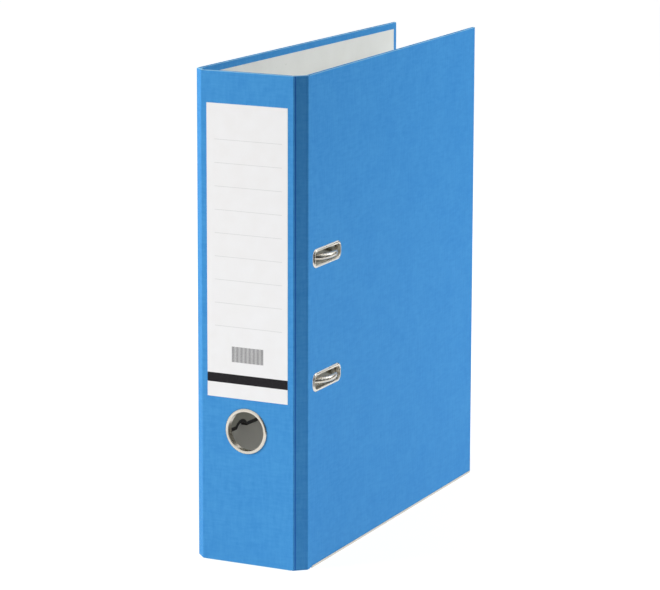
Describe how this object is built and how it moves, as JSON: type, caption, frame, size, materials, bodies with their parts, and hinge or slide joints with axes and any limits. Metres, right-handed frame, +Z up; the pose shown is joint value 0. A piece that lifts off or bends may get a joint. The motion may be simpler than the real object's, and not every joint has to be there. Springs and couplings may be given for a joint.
{
  "type": "lever arch file",
  "caption": "Lever arch file with board covers, locking slots, finger ring, label and a working lever mechanism with arches, posts and compressor bar.",
  "frame": {"origin": "on the bottom edge of the spine, in the middle of its width and thickness", "axes": "+Z up along the spine, +Y from the spine to the fore edge, +X across the spine towards the front cover"},
  "size_m": [0.0843, 0.2861, 0.318],
  "materials": {
    "blue_covering": "satin blue printed paper",
    "grey_lining": "matte grey paper",
    "grey_board": "raw grey board",
    "label_paper": "matte white paper",
    "nickel": "bright nickel plating",
    "plated_sheet": "nickel-plated sheet",
    "spring_steel": "satin spring steel"
  },
  "bodies": {
    "spine": {"spine_board": "grey_board", "spine_wrap": "blue_covering", "spine_lining": "grey_lining", "spine_label": "label_paper", "finger_ring": "nickel", "finger_ring_washer": "nickel"},
    "front_strip": {"front_hinge_strip": "blue_covering"},
    "front_cover": {"front_board": "grey_board", "front_wrap": "blue_covering", "front_lining": "grey_lining", "front_edge_rail": "nickel", "upper_slot_eyelet": "nickel", "lower_slot_eyelet": "nickel"},
    "back_strip": {"back_hinge_strip": "blue_covering"},
    "back_cover": {"back_board": "grey_board", "back_wrap": "blue_covering", "back_lining": "grey_lining", "back_edge_rail": "nickel", "base_plate": "plated_sheet", "cover_rivets": "nickel", "upper_post": "nickel", "lower_post": "nickel", "opening_spring": "spring_steel", "lever_axle": "plated_sheet"},
    "arches": {"double_arch": "nickel"},
    "lever": {"lever": "nickel", "roller_pin": "nickel"},
    "roller": {"roller": "plated_sheet"},
    "compressor": {"compressor_bar": "nickel", "catch_pin": "nickel"},
    "catch": {"compressor_catch": "spring_steel"}
  },
  "joints": [
    {"name": "spine_front_crease", "type": "hinge", "parent": "spine", "child": "front_strip", "pos_m": [0.03246, 0, 0.159], "axis": [0, 0, -1], "range_deg": [0, 45]},
    {"name": "front_cover_crease", "type": "hinge", "parent": "front_strip", "child": "front_cover", "pos_m": [0.03867, 0.00621, 0.159], "axis": [0, 0, -1], "range_deg": [0, 135]},
    {"name": "spine_back_crease", "type": "hinge", "parent": "spine", "child": "back_strip", "pos_m": [-0.03246, 0, 0.159], "axis": [0, 0, 1], "range_deg": [0, 45]},
    {"name": "back_cover_crease", "type": "hinge", "parent": "back_strip", "child": "back_cover", "pos_m": [-0.0387, 0.00624, 0.159], "axis": [0, 0, 1], "range_deg": [0, 45]},
    {"name": "arch_hinge", "type": "hinge", "parent": "back_cover", "child": "arches", "pos_m": [-0.0311, 0.0125, 0.1605], "axis": [0, 0, -1], "range_deg": [0, 45]},
    {"name": "lever_pivot", "type": "hinge", "parent": "back_cover", "child": "lever", "pos_m": [-0.0109, 0.02846, 0.1605], "axis": [0, 1, 0], "range_deg": [0, 67.5]},
    {"name": "roller_spin", "type": "hinge", "parent": "lever", "child": "roller", "pos_m": [-0.02202, 0.02846, 0.16829], "axis": [0, 1, 0], "continuous": true},
    {"name": "compressor_slide", "type": "slide", "parent": "back_cover", "child": "compressor", "axis": [1, 0, 0], "range_m": [0, 0.042]},
    {"name": "catch_pivot", "type": "hinge", "parent": "compressor", "child": "catch", "pos_m": [-0.02664, 0.0545, 0.1765], "axis": [0, 1, 0], "range_deg": [0, 12]}
  ],
  "couplings": [
    {"joint": "spine_back_crease", "follows": "spine_front_crease", "ratio": 1},
    {"joint": "back_cover_crease", "follows": "spine_front_crease", "ratio": 1},
    {"joint": "arch_hinge", "follows": "spine_front_crease", "ratio": 1},
    {"joint": "lever_pivot", "follows": "spine_front_crease", "ratio": 1.5}
  ]
}
